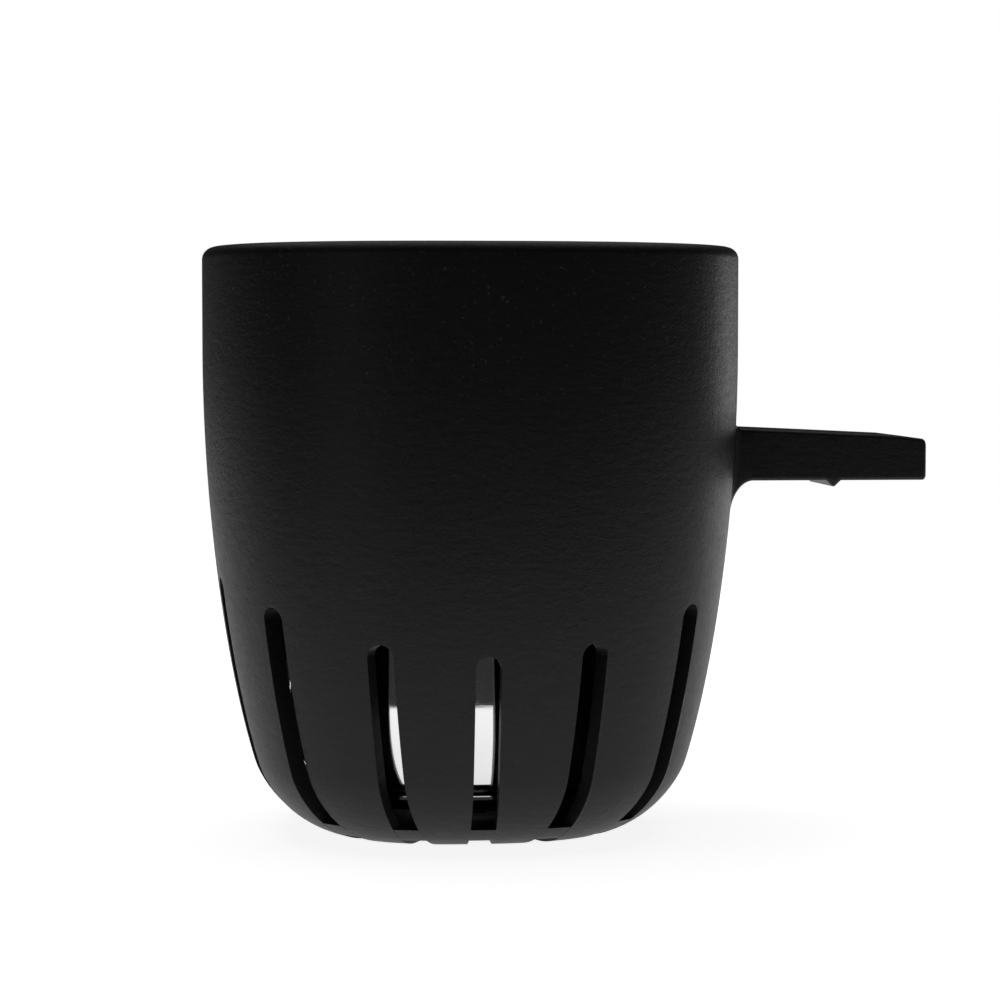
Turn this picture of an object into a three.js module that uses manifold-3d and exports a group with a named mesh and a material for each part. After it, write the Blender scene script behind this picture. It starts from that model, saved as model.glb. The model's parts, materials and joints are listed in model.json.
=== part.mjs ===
// A compact sous vide circulator: a black slotted pump housing with a pot lug moulded on its side,
// a steel pump can inside it, and a motor, heater and electronics under a recessed top cover.
// Millimetres, +Z up. The origin is the centre of the foot face, on the shaft's axis.
// +X points along the pot lug and -Y is the front.
import * as THREE from "three";
import { mergeVertices } from "three/addons/utils/BufferGeometryUtils.js";
import Module from "manifold-3d";

const wasm = await Module();
wasm.setup();

// ---- driving dimensions ----

const HEIGHT = 70;
const HALF_WIDTH = 32; // half the outside width of the straight upper wall, along X
const OVAL = 0.906; // outside depth over outside width: the body is an oval
const BLUNT = 2.55; // 2 would make a true ellipse, and more makes the oval squarer
const WALL = 2.2;
const RIM_RADIUS = 1.4;
const RUN = 0.3; // room left between pieces that meet
const TURN_GAP = 0.1; // room between the shaft and its bushes
const BODY_SIDES = 48; // flats round the oval body

const FOOT_HALF_WIDTH = 14; // where the rounded bottom meets the flat foot
const KNEE = new THREE.Vector2(26, 8.8); // where the side turns into the bottom
const KNEE_SLOPE = new THREE.Vector2(0.29, 0.957);
const STRAIGHT_FROM = 58; // the wall is straight above this height
const FLOOR_UNDER = 1; // underside of the floor between the ribs' feet
const FLOOR_TOP = 2.6;

const SLOT_COUNT = 14;
const SLOT_WIDTH = 2.95;
const SLOT_TOP_FRONT = 23.4; // the slots are shortest at the front and back
const SLOT_TOP_RISE = 7.9; // and this much longer at the two sides
const NOTCH_FROM = 11; // half-width of the unbroken ring inside the ribs' feet

const GRILLE_RADIUS = 7.5;
const GRILLE_HUB_RADIUS = 3.5;
const GRILLE_SPOKE = 1.6;

const LEDGE_HALF_WIDTH = 26.6; // the bulkhead rests on this ledge
const LEDGE_UNDER = 31.2;
const LEDGE_TOP = 32;
const BORE_LOW = 27.9; // half-width of the upper bore at the ledge
const BORE_HIGH = 29.6; // and at the rim
const BORE_STRAIGHT_FROM = 60;

const LUG_TIP = 54.8;
const LUG_UNDER = 42.2;
const LUG_ROOT_TOP = 48.5; // the top falls a little towards the tip
const LUG_TIP_TOP = 47.1;
const LUG_WIDTH = 14;
const LUG_FILLET = 0.7;
const GUSSET_REACH = 2.3;
const GUSSET_DROP = 4.1;
const NUB_X = 43.5;
const NUB_WIDTH = 1.8;
const NUB_DROP = 0.85;

const COVER_TOP = 68.4;
const COVER_THICKNESS = 2.4;
const COVER_HALF_WIDTH = BORE_HIGH - RUN;
const COVER_UNDER = COVER_TOP - COVER_THICKNESS;
const CUT_LOW = COVER_UNDER - 6; // cutters for the cover's holes run from here
const CUT_HIGH = HEIGHT; // to here
const SKIRT_UNDER = 62.8;
const SKIRT_WALL = 1.6;
const SNAP_WIDTH = 5;
const SNAP_HEIGHT = 1.2;
const SNAP_REACH = 0.8;
const SNAP_Z = 64;

const BULKHEAD_UNDER = LEDGE_TOP + RUN;
const BULKHEAD_TOP = 35;
const POSTS = [
  [-19, -11],
  [19, -11],
  [19, 11],
  [-19, 11],
];
const POST_RADIUS = 2.6;
const SCREW_RADIUS = 1.1;
const SCREW_HEAD_RADIUS = 2.1;

const DISPLAY_Y = -9.3;
const DISPLAY_WIDTH = 24;
const DISPLAY_DEPTH = 9;
const BUTTON_Y = 3;
const BUTTON_SPACING = 12;
const BUTTON_TRAVEL = 0.8;
const BUTTON_TOP = 69.1;
const GLAND_Y = 15.5;
const BOARD_UNDER = 59;
const BOARD_THICKNESS = 1.4;
const BOARD_POST_X = 13.4;
const BOARD_POST_Y = -2.9;

const SHAFT_RADIUS = 1.5;
const MOTOR_RADIUS = 11;
const MOTOR_UNDER = 35.4;
const MOTOR_TOP = 53;
const BUSH_RADIUS = 2.8;
const IMPELLER_RADIUS = 10;
const BLADE_COUNT = 6;

const CAN_HALF_WIDTH = 23.6;
const CAN_INSET = 6.2; // how far the can lies inside the body's outside surface
const CAN_WALL = 0.8;
const CAN_FLANGE_HALF_WIDTH = 26.2;
const CAN_STRAIGHT_FROM = 18;
const CAN_FOOT_HALF_WIDTH = 16.6;
const CAN_FOOT_Z = 5;
const BASE_THICKNESS = 0.6;
const BASE_GAP = 0.25; // between the can and the lip of its base plate
const INLET_RADIUS = 6.5;

const COIL_RADIUS = 11.8;
const COIL_LEG = 16;
const COIL_TUBE = 1.6;
const COIL_TURNS = 2.5;
const COIL_LOW = 14.5;
const COIL_HIGH = 27;
const PROBE_ANGLES = [-20, 0, 20]; // behind the can, counted from the back
const PROBE_RADIUS = 0.9;

// ---- materials ----

const finish = (color, roughness, metalness) => new THREE.MeshStandardMaterial({ color, roughness, metalness });
const blackPlastic = finish(0x141415, 0.62, 0);
const coverPlastic = finish(0x1b1b1d, 0.5, 0);
const innerPlastic = finish(0x2a2a2c, 0.6, 0);
const rubber = finish(0x101010, 0.85, 0);
const polishedSteel = finish(0xc8cacc, 0.18, 1);
const plainSteel = finish(0x9a9c9e, 0.35, 1);
const brass = finish(0xb8924a, 0.35, 1);
const ferrite = finish(0x3a3a3d, 0.7, 0.2);
const aluminium = finish(0xb4b6b8, 0.4, 1);
const boardGreen = finish(0x1e4a2c, 0.5, 0);
const smokedWindow = finish(0x08080a, 0.1, 0);

// ---- solids and how they are joined and cut ----

const place = (x, y, z, turn = 0) => new THREE.Matrix4().makeRotationZ(turn).setPosition(x, y, z);

function solid(geometry, matrix = new THREE.Matrix4()) {
  const shape = geometry.clone().applyMatrix4(matrix);
  shape.deleteAttribute("normal");
  shape.deleteAttribute("uv");
  const merged = mergeVertices(shape, 1e-4);
  return new wasm.Manifold(
    new wasm.Mesh({
      numProp: 3,
      vertProperties: new Float32Array(merged.attributes.position.array),
      triVerts: new Uint32Array(merged.index.array),
    }),
  );
}

function geometryOf(body) {
  const mesh = body.getMesh();
  const geometry = new THREE.BufferGeometry();
  geometry.setAttribute("position", new THREE.BufferAttribute(mesh.vertProperties, 3));
  geometry.setIndex(new THREE.BufferAttribute(mesh.triVerts, 1));
  geometry.computeVertexNormals();
  return geometry;
}

const joined = (solids) => solids.reduce((whole, piece) => whole.add(piece));
const without = (whole, cutters) => cutters.reduce((rest, cutter) => rest.subtract(cutter), whole);

// An upright round bar from one height to another. Thin bars need fewer flats.
function bar(radius, low, high, x = 0, y = 0, sides = radius < 2 ? 12 : 20) {
  const geometry = new THREE.CylinderGeometry(radius, radius, high - low, sides);
  geometry.rotateX(Math.PI / 2);
  return solid(geometry, place(x, y, (low + high) / 2));
}

// A box given by its size, the middle of its plan and its two heights.
function block(width, depth, low, high, x = 0, y = 0, turn = 0) {
  return solid(new THREE.BoxGeometry(width, depth, high - low), place(x, y, (low + high) / 2, turn));
}

// A ring or turned piece about Z: the points are [radius, height], and the outline closes on itself.
function turned(points, sides = 24) {
  const outline = points.map(([r, z]) => new THREE.Vector2(r, z));
  outline.push(outline[0].clone());
  const geometry = new THREE.LatheGeometry(outline, sides);
  geometry.rotateX(Math.PI / 2);
  return solid(geometry);
}

// The half-depth that goes with a half-width, for an oval lying inset inside the body's outside surface.
const halfDepth = (halfWidth, inset) => OVAL * (halfWidth + inset) - inset;

// How far an oval reaches from its middle in the direction (x, y), which is one long.
function ovalReach(x, y, halfWidth, depth) {
  return (Math.abs(x / halfWidth) ** BLUNT + Math.abs(y / depth) ** BLUNT) ** (-1 / BLUNT);
}

// A turned piece pressed to the body's oval. The outline runs anticlockwise in (half-width, height).
function ovalSolid(outline, inset, sides = 40) {
  const geometry = new THREE.LatheGeometry(outline, sides);
  geometry.rotateX(Math.PI / 2);
  const position = geometry.attributes.position;
  for (let i = 0; i < position.count; i += 1) {
    const radius = Math.hypot(position.getX(i), position.getY(i));
    if (radius < 1e-6) continue;
    const x = position.getX(i) / radius;
    const y = position.getY(i) / radius;
    const reach = ovalReach(x, y, radius, halfDepth(radius, inset));
    position.setX(i, reach * x);
    position.setY(i, reach * y);
  }
  const body = solid(geometry);
  if (body.volume() < 0) throw new Error("an oval outline runs the wrong way round");
  return body;
}

// The same from plain [half-width, height] points. A ring's outline closes on itself.
function ovalPiece(points, inset, sides) {
  const outline = points.map(([x, z]) => new THREE.Vector2(x, z));
  if (points[0][0] > 0) outline.push(outline[0].clone());
  return ovalSolid(outline, inset, sides);
}

function ovalRing(inner, outer, low, high, inset) {
  const points = [
    [inner, low],
    [outer, low],
    [outer, high],
    [inner, high],
  ];
  return ovalPiece(points, inset);
}

// A flat shape in the XZ plane, pushed out along Y and centred on the XZ plane.
function slabXZ(shape, depth) {
  const geometry = new THREE.ExtrudeGeometry(shape, { depth, bevelEnabled: false, curveSegments: 8 });
  geometry.rotateX(Math.PI / 2);
  geometry.translate(0, depth / 2, 0);
  return solid(geometry);
}

const model = new THREE.Group();

function add(name, material, body, parent = model) {
  const mesh = new THREE.Mesh(body instanceof THREE.BufferGeometry ? body : geometryOf(body), material);
  mesh.name = name;
  parent.add(mesh);
  return mesh;
}

// ---- the slotted housing ----

// The body's side outline from the foot to the straight wall, in (half-width, height).
function sideOutline() {
  const path = new THREE.Path();
  path.moveTo(FOOT_HALF_WIDTH, 0);
  path.bezierCurveTo(
    FOOT_HALF_WIDTH + 7.2,
    0,
    KNEE.x - 2.5 * KNEE_SLOPE.x,
    KNEE.y - 2.5 * KNEE_SLOPE.y,
    KNEE.x,
    KNEE.y,
  );
  path.bezierCurveTo(
    KNEE.x + 11.6 * KNEE_SLOPE.x,
    KNEE.y + 11.6 * KNEE_SLOPE.y,
    HALF_WIDTH,
    STRAIGHT_FROM - 19.3,
    HALF_WIDTH,
    STRAIGHT_FROM,
  );
  return path.getPoints(6);
}

const side = sideOutline();

function halfWidthAt(z) {
  const above = side.findIndex((point) => point.y >= z);
  if (above < 0) return HALF_WIDTH;
  if (above === 0) return side[0].x;
  const low = side[above - 1];
  const high = side[above];
  return low.x + ((high.x - low.x) * (z - low.y)) / (high.y - low.y);
}

function outsideSolid() {
  const rim = new THREE.Path();
  rim.absarc(HALF_WIDTH - RIM_RADIUS, HEIGHT - RIM_RADIUS, RIM_RADIUS, 0, Math.PI / 2);
  const outline = [new THREE.Vector2(0, 0), ...side, ...rim.getPoints(2), new THREE.Vector2(0, HEIGHT)];
  return ovalSolid(outline, 0, BODY_SIDES);
}

function cavitySolid() {
  const levels = 6;
  const outline = [new THREE.Vector2(0, FLOOR_TOP)];
  for (let i = 0; i <= levels; i += 1) {
    const z = FLOOR_TOP + ((LEDGE_UNDER - FLOOR_TOP) * (i / levels) ** 1.5);
    outline.push(new THREE.Vector2(halfWidthAt(z) - WALL, z));
  }
  const upper = [
    [LEDGE_HALF_WIDTH, LEDGE_UNDER],
    [LEDGE_HALF_WIDTH, LEDGE_TOP],
    [BORE_LOW, LEDGE_TOP],
    [BORE_HIGH, BORE_STRAIGHT_FROM],
    [BORE_HIGH, HEIGHT + 1],
    [0, HEIGHT + 1],
  ];
  upper.forEach(([x, z]) => outline.push(new THREE.Vector2(x, z)));
  return ovalSolid(outline, WALL, BODY_SIDES);
}

// A slot cutter: round at the top, pushed outwards from the middle, then turned to its place.
function slotCutter(angle, low, high, from) {
  const half = SLOT_WIDTH / 2;
  const shape = new THREE.Shape();
  shape.moveTo(-half, low);
  shape.lineTo(half, low);
  shape.lineTo(half, high - half);
  shape.absarc(0, high - half, half, 0, Math.PI);
  shape.closePath();
  const geometry = new THREE.ExtrudeGeometry(shape, { depth: 40 - from, bevelEnabled: false, curveSegments: 3 });
  geometry.rotateX(Math.PI / 2);
  geometry.translate(0, -from, 0);
  geometry.rotateZ(angle);
  return solid(geometry);
}

// The flat face between two ribs' feet is cut up to the floor.
function notchCutter(angle) {
  const from = ovalReach(Math.sin(angle), Math.cos(angle), NOTCH_FROM, NOTCH_FROM * OVAL);
  const length = 40 - from;
  const geometry = new THREE.BoxGeometry(SLOT_WIDTH, length, 2 * FLOOR_UNDER);
  geometry.translate(0, -from - length / 2, 0);
  geometry.rotateZ(angle);
  return solid(geometry);
}

function slotCutters() {
  const cutters = [];
  for (let i = 0; i < SLOT_COUNT; i += 1) {
    const angle = (2 * Math.PI * i) / SLOT_COUNT;
    const across = Math.sin(angle) * ovalReach(Math.sin(angle), Math.cos(angle), 1, OVAL);
    const top = SLOT_TOP_FRONT + SLOT_TOP_RISE * across ** 2;
    cutters.push(slotCutter(angle, FLOOR_TOP, top, CAN_FOOT_HALF_WIDTH / 2));
    cutters.push(notchCutter(angle));
  }
  return cutters;
}

// The inlet in the floor is a guard of four spokes between a hub and the floor.
function inletCutter() {
  const hole = bar(GRILLE_RADIUS, -1, FLOOR_TOP + 1, 0, 0, 48);
  const hub = bar(GRILLE_HUB_RADIUS, -2, FLOOR_TOP + 2, 0, 0, 32);
  const length = 2 * GRILLE_RADIUS + 2;
  const spokes = [45, 135].map((degrees) =>
    block(length, GRILLE_SPOKE, -2, FLOOR_TOP + 2, 0, 0, THREE.MathUtils.degToRad(degrees)),
  );
  return without(hole, [hub, ...spokes]);
}

function lugSolid() {
  const root = HALF_WIDTH - WALL / 2;
  const wallHigh = halfWidthAt(LUG_UNDER);
  const wallLow = halfWidthAt(LUG_UNDER - GUSSET_DROP);
  const shape = new THREE.Shape();
  shape.moveTo(root, LUG_UNDER - GUSSET_DROP);
  shape.lineTo(wallLow, LUG_UNDER - GUSSET_DROP);
  shape.quadraticCurveTo(wallHigh, LUG_UNDER, wallHigh + GUSSET_REACH, LUG_UNDER);
  shape.lineTo(NUB_X - NUB_WIDTH / 2, LUG_UNDER);
  shape.lineTo(NUB_X, LUG_UNDER - NUB_DROP);
  shape.lineTo(NUB_X + NUB_WIDTH / 2, LUG_UNDER);
  shape.lineTo(LUG_TIP - 0.4, LUG_UNDER);
  shape.absarc(LUG_TIP - 0.4, LUG_UNDER + 0.4, 0.4, -Math.PI / 2, 0);
  shape.lineTo(LUG_TIP, LUG_TIP_TOP - 0.7);
  shape.quadraticCurveTo(LUG_TIP, LUG_TIP_TOP, LUG_TIP - 2.6, LUG_TIP_TOP + 0.3);
  shape.lineTo(HALF_WIDTH + LUG_FILLET, LUG_ROOT_TOP);
  shape.quadraticCurveTo(HALF_WIDTH, LUG_ROOT_TOP, HALF_WIDTH, LUG_ROOT_TOP + LUG_FILLET);
  shape.lineTo(root, LUG_ROOT_TOP + LUG_FILLET);
  return slabXZ(shape, LUG_WIDTH);
}

function snapPocket(x, y, turn) {
  return block(
    SNAP_WIDTH + 2 * RUN,
    2 * (SNAP_REACH + RUN),
    SNAP_Z - SNAP_HEIGHT / 2 - RUN,
    SNAP_Z + SNAP_HEIGHT / 2 + RUN,
    x,
    y,
    turn,
  );
}

const BORE_DEPTH = halfDepth(BORE_HIGH, WALL);
const SNAPS = [
  [BORE_HIGH, 0, Math.PI / 2],
  [-BORE_HIGH, 0, Math.PI / 2],
  [0, BORE_DEPTH, 0],
  [0, -BORE_DEPTH, 0],
];

function housing() {
  const shell = outsideSolid().add(lugSolid());
  return without(shell, [
    cavitySolid(),
    ...slotCutters(),
    inletCutter(),
    ...SNAPS.map(([x, y, turn]) => snapPocket(x, y, turn)),
  ]);
}

add("slotted_housing", blackPlastic, housing());

// ---- the top cover and its controls ----

const BUTTONS = [
  ["down", -BUTTON_SPACING, 3.4],
  ["start", 0, 4.4],
  ["up", BUTTON_SPACING, 3.4],
];
const FLANGE = 0.8; // how far a button's flange reaches past its cap
const GLAND_RADIUS = 3.9;

function topCover() {
  const coverDepthEdge = halfDepth(COVER_HALF_WIDTH, WALL + RUN);
  const shell = ovalPiece(
    [
      [0, COVER_UNDER],
      [COVER_HALF_WIDTH - SKIRT_WALL, COVER_UNDER],
      [COVER_HALF_WIDTH - SKIRT_WALL, SKIRT_UNDER],
      [COVER_HALF_WIDTH, SKIRT_UNDER],
      [COVER_HALF_WIDTH, COVER_TOP - 1.7],
      [COVER_HALF_WIDTH - 0.9, COVER_TOP - 1.7],
      [COVER_HALF_WIDTH - 0.9, COVER_TOP - 0.7],
      [COVER_HALF_WIDTH, COVER_TOP - 0.7],
      [COVER_HALF_WIDTH, COVER_TOP],
      [0, COVER_TOP],
    ],
    WALL + RUN,
  );
  const snaps = [
    [COVER_HALF_WIDTH, 0, Math.PI / 2],
    [-COVER_HALF_WIDTH, 0, Math.PI / 2],
    [0, coverDepthEdge, 0],
    [0, -coverDepthEdge, 0],
  ].map(([x, y, turn]) =>
    block(SNAP_WIDTH, 2 * SNAP_REACH, SNAP_Z - SNAP_HEIGHT / 2, SNAP_Z + SNAP_HEIGHT / 2, x, y, turn),
  );
  const boardPosts = [-1, 1].map((sign) =>
    bar(1.6, BOARD_UNDER + BOARD_THICKNESS + 0.2, COVER_UNDER + 0.2, sign * BOARD_POST_X, BOARD_POST_Y, 16),
  );
  const cutters = [];
  BUTTONS.forEach(([, x, radius]) => cutters.push(bar(radius + RUN, CUT_LOW, CUT_HIGH, x, BUTTON_Y, 24)));
  POSTS.forEach(([x, y]) => {
    cutters.push(bar(SCREW_RADIUS + 0.2, CUT_LOW, CUT_HIGH, x, y));
    cutters.push(bar(SCREW_HEAD_RADIUS + 0.2, COVER_TOP - 1.2, CUT_HIGH, x, y));
  });
  boardPosts.forEach((post, i) => {
    const x = (2 * i - 1) * BOARD_POST_X;
    cutters.push(bar(0.9, 55, COVER_UNDER - 0.6, x, BOARD_POST_Y, 16));
  });
  const pocket = COVER_TOP - 1.5;
  cutters.push(block(DISPLAY_WIDTH + RUN, DISPLAY_DEPTH + RUN, pocket, CUT_HIGH, 0, DISPLAY_Y));
  cutters.push(block(DISPLAY_WIDTH - 4, DISPLAY_DEPTH - 3, CUT_LOW, CUT_HIGH, 0, DISPLAY_Y));
  cutters.push(bar(GLAND_RADIUS + 0.2, CUT_LOW, CUT_HIGH, 0, GLAND_Y, 24));
  return without(joined([shell, ...snaps, ...boardPosts]), cutters);
}

add("top_cover", coverPlastic, topCover());
add(
  "cover_seal",
  rubber,
  ovalRing(COVER_HALF_WIDTH - 0.8, COVER_HALF_WIDTH + 0.15, COVER_TOP - 1.6, COVER_TOP - 0.8, WALL + RUN),
);

POSTS.forEach(([x, y], i) => {
  const head = bar(SCREW_HEAD_RADIUS, COVER_TOP - 1.1, COVER_TOP - 0.1, x, y);
  const shank = bar(SCREW_RADIUS, COVER_TOP - 10, COVER_TOP - 1, x, y);
  const drive = bar(0.9, COVER_TOP - 0.9, COVER_TOP + 1, x, y, 6);
  add("cover_screw_" + (i + 1), plainSteel, head.add(shank).subtract(drive));
});

add(
  "display_window",
  smokedWindow,
  block(DISPLAY_WIDTH, DISPLAY_DEPTH, COVER_TOP - 1.3, COVER_TOP - 0.1, 0, DISPLAY_Y),
);
add(
  "display_module",
  innerPlastic,
  block(DISPLAY_WIDTH - 1, DISPLAY_DEPTH - 0.4, BOARD_UNDER + BOARD_THICKNESS + 0.2, COVER_UNDER - 0.4, 0, DISPLAY_Y),
);

const FLANGE_TOP = COVER_UNDER - 0.2;
const FLANGE_UNDER = FLANGE_TOP - 0.9;
const PLUNGER_TOP = FLANGE_UNDER - BUTTON_TRAVEL - 0.2;

BUTTONS.forEach(([name, x, radius]) => {
  const cap = bar(radius, FLANGE_UNDER, BUTTON_TOP - 0.4, x, BUTTON_Y, 24);
  const crown = solid(
    new THREE.CylinderGeometry(radius - 0.4, radius, 0.4, 24).rotateX(Math.PI / 2),
    place(x, BUTTON_Y, BUTTON_TOP - 0.2),
  );
  const flange = bar(radius + FLANGE, FLANGE_UNDER, FLANGE_TOP, x, BUTTON_Y, 24);
  add(name + "_button", coverPlastic, joined([cap, crown, flange]));
  const switchUnder = BOARD_UNDER + BOARD_THICKNESS + 0.2;
  const base = block(6, 6, switchUnder, PLUNGER_TOP - 0.9, x, BUTTON_Y);
  const plunger = bar(1.7, PLUNGER_TOP - 1, PLUNGER_TOP, x, BUTTON_Y, 16);
  add(name + "_switch", plainSteel, base.add(plunger));
});

add(
  "cord_gland",
  rubber,
  geometryOf(
    turned([
      [3, 63.6],
      [GLAND_RADIUS, 63.6],
      [GLAND_RADIUS, COVER_TOP + 0.2],
      [GLAND_RADIUS + 1.2, COVER_TOP + 0.2],
      [GLAND_RADIUS + 1.2, COVER_TOP + 0.8],
      [GLAND_RADIUS + 0.5, COVER_TOP + 1.3],
      [3, COVER_TOP + 1.3],
    ]),
  ),
).position.set(0, GLAND_Y, 0);

// ---- electronics ----

const BOARD_HALF_WIDTH = 15.6;
const BOARD_FRONT = -14.6;
const BOARD_BACK = 8;

function controlBoard() {
  const depth = BOARD_BACK - BOARD_FRONT;
  const plate = block(
    2 * BOARD_HALF_WIDTH,
    depth,
    BOARD_UNDER,
    BOARD_UNDER + BOARD_THICKNESS,
    0,
    BOARD_FRONT + depth / 2,
  );
  const holes = [-1, 1].map((sign) => bar(1, 50, 70, sign * BOARD_POST_X, BOARD_POST_Y, 16));
  return without(plate, holes);
}

add("control_board", boardGreen, controlBoard());
[-1, 1].forEach((sign, i) => {
  const head = bar(1.7, BOARD_UNDER - 1.4, BOARD_UNDER - 0.2, sign * BOARD_POST_X, BOARD_POST_Y, 16);
  const shank = bar(0.75, BOARD_UNDER - 0.4, COVER_UNDER - 1.2, sign * BOARD_POST_X, BOARD_POST_Y, 12);
  add("board_screw_" + (i + 1), plainSteel, head.add(shank));
});

const POWER_X = 16;
const POWER_LOW = 38.6;
const POWER_HIGH = 57;
add("power_board", boardGreen, block(1.4, 15.6, POWER_LOW, POWER_HIGH, POWER_X, 0));
add("relay", innerPlastic, block(6.4, 8, 40, 51, POWER_X + 4.2, -3.2));
add("capacitor", smokedWindow, bar(2.7, 40, 50, POWER_X + 4, 4.6));
[-1, 1].forEach((sign, i) => {
  add("mains_terminal_" + (i + 1), brass, block(5, 0.8, 52.5, 56, POWER_X + 3.5, sign * 3));
});

function heatSink() {
  const x = -16.6;
  const plate = block(1.6, 16, 38.6, 57, x, 0);
  const fins = [-6, -2, 2, 6].map((y) => block(5.4, 1.2, 38.6, 57, x - 3, y));
  return joined([plate, ...fins]);
}

add("heat_sink", aluminium, heatSink());
add("triac", smokedWindow, block(2.6, 7.6, 44, 54, -14.2, 0));

// ---- the bulkhead and its seals ----

const behind = (degrees) => {
  const angle = THREE.MathUtils.degToRad(degrees);
  const halfWidth = (CAN_HALF_WIDTH + CAN_FLANGE_HALF_WIDTH) / 2 + 0.1;
  const x = Math.sin(angle);
  const y = Math.cos(angle);
  const reach = ovalReach(x, y, halfWidth, halfDepth(halfWidth, CAN_INSET));
  return [reach * x, reach * y];
};
const HUB_RADIUS = 5.2;
const SEAL_BORE = 4;
const HUB_UNDER = 29.6;

function bulkhead() {
  const halfWidth = BORE_LOW - RUN;
  const plate = ovalPiece(
    [
      [0, BULKHEAD_UNDER],
      [halfWidth, BULKHEAD_UNDER],
      [halfWidth, 33],
      [halfWidth - 0.9, 33],
      [halfWidth - 0.9, 34.2],
      [halfWidth, 34.2],
      [halfWidth, BULKHEAD_TOP],
      [0, BULKHEAD_TOP],
    ],
    WALL + RUN,
  );
  const posts = POSTS.map(([x, y]) => bar(POST_RADIUS, BULKHEAD_TOP - 0.2, COVER_UNDER - 0.2, x, y));
  const hub = bar(HUB_RADIUS, HUB_UNDER, BULKHEAD_UNDER + 0.2);
  return without(joined([plate, hub, ...posts]), [
    bar(SEAL_BORE, HUB_UNDER + 1, 40),
    bar(SHAFT_RADIUS + 0.4, 20, 40),
    ...POSTS.map(([x, y]) => bar(SCREW_RADIUS + 0.15, 55, 70, x, y)),
    ...PROBE_ANGLES.map((degrees) => bar(PROBE_RADIUS + 0.2, 20, 40, ...behind(degrees), 16)),
    ...[-1, 1].map((sign) => bar(COIL_TUBE + 0.25, 20, 40, sign * COIL_LEG, 0)),
    ...[-1, 1].map((sign) => bar(0.9, 30, 34.8, sign * 25, 0, 12)),
  ]);
}

add("bulkhead", innerPlastic, bulkhead());
add("bulkhead_seal", rubber, ovalRing(BORE_LOW - RUN - 0.8, BORE_LOW - 0.15, 33.1, 34.1, WALL + RUN));
add(
  "shaft_seal",
  rubber,
  turned([
    [SHAFT_RADIUS + TURN_GAP, HUB_UNDER + 1.2],
    [SEAL_BORE - 0.15, HUB_UNDER + 1.2],
    [SEAL_BORE - 0.15, HUB_UNDER + 4.6],
    [SHAFT_RADIUS + TURN_GAP, HUB_UNDER + 4.6],
  ]),
);

// ---- the motor ----

add(
  "motor_can",
  plainSteel,
  turned([
    [BUSH_RADIUS + 0.15, MOTOR_UNDER],
    [MOTOR_RADIUS, MOTOR_UNDER],
    [MOTOR_RADIUS, MOTOR_TOP],
    [MOTOR_RADIUS - 0.8, MOTOR_TOP],
    [MOTOR_RADIUS - 0.8, MOTOR_UNDER + 0.8],
    [BUSH_RADIUS + 0.15, MOTOR_UNDER + 0.8],
  ]),
);
add(
  "motor_end_cap",
  innerPlastic,
  turned([
    [BUSH_RADIUS + 0.15, MOTOR_TOP - 1.4],
    [MOTOR_RADIUS - 1, MOTOR_TOP - 1.4],
    [MOTOR_RADIUS - 1, MOTOR_TOP + 0.2],
    [MOTOR_RADIUS, MOTOR_TOP + 0.2],
    [MOTOR_RADIUS, MOTOR_TOP + 1.6],
    [BUSH_RADIUS + 0.15, MOTOR_TOP + 1.6],
  ]),
);
add(
  "motor_magnets",
  ferrite,
  turned([
    [8.2, 37.5],
    [10, 37.5],
    [10, 51],
    [8.2, 51],
  ]),
);
const rotorHole = SHAFT_RADIUS + TURN_GAP;
add(
  "motor_rotor",
  plainSteel,
  turned([
    [rotorHole, 39.4],
    [7.8, 39.4],
    [7.8, 49.6],
    [rotorHole, 49.6],
  ]),
);
[
  ["lower_bush", MOTOR_UNDER + 0.1],
  ["upper_bush", MOTOR_TOP - 1.5],
].forEach(([name, low]) => {
  add(
    name,
    brass,
    turned(
      [
        [rotorHole, low],
        [BUSH_RADIUS, low],
        [BUSH_RADIUS, low + 3],
        [rotorHole, low + 3],
      ],
      24,
    ),
  );
});

// ---- the shaft and the impeller ----

add("drive_shaft", plainSteel, bar(SHAFT_RADIUS, 5, MOTOR_TOP + 1.4, 0, 0, 24));

function impeller() {
  const low = 6.8;
  const plateUnder = 10.6;
  const top = 11.6;
  const blades = [];
  for (let i = 0; i < BLADE_COUNT; i += 1) {
    const arc = new THREE.Shape();
    const reach = IMPELLER_RADIUS - 0.4;
    arc.moveTo(2, -0.5);
    arc.quadraticCurveTo(reach * 0.6, 0.2, reach, 3.2);
    arc.lineTo(reach - 0.6, 4);
    arc.quadraticCurveTo(reach * 0.5, 1.2, 2, 0.5);
    const geometry = new THREE.ExtrudeGeometry(arc, {
      depth: plateUnder + 0.2 - low,
      bevelEnabled: false,
      curveSegments: 5,
    });
    blades.push(solid(geometry, place(0, 0, low, (2 * Math.PI * i) / BLADE_COUNT)));
  }
  const hub = bar(3, low, top);
  const plate = bar(IMPELLER_RADIUS, plateUnder, top, 0, 0, 36);
  return joined([plate, hub, ...blades]).subtract(bar(rotorHole, 0, 20, 0, 0, 24));
}

add("impeller", innerPlastic, impeller());
add("impeller_nut", plainSteel, bar(2.6, 5.2, 6.5, 0, 0, 6).subtract(bar(rotorHole, 0, 10, 0, 0, 24)));

// ---- the steel pump can ----

function canOutline() {
  const path = new THREE.Path();
  path.moveTo(CAN_FOOT_HALF_WIDTH, CAN_FOOT_Z);
  path.bezierCurveTo(20.6, CAN_FOOT_Z + 0.9, CAN_HALF_WIDTH, 9.8, CAN_HALF_WIDTH, CAN_STRAIGHT_FROM);
  return path.getPoints(6);
}

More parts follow.
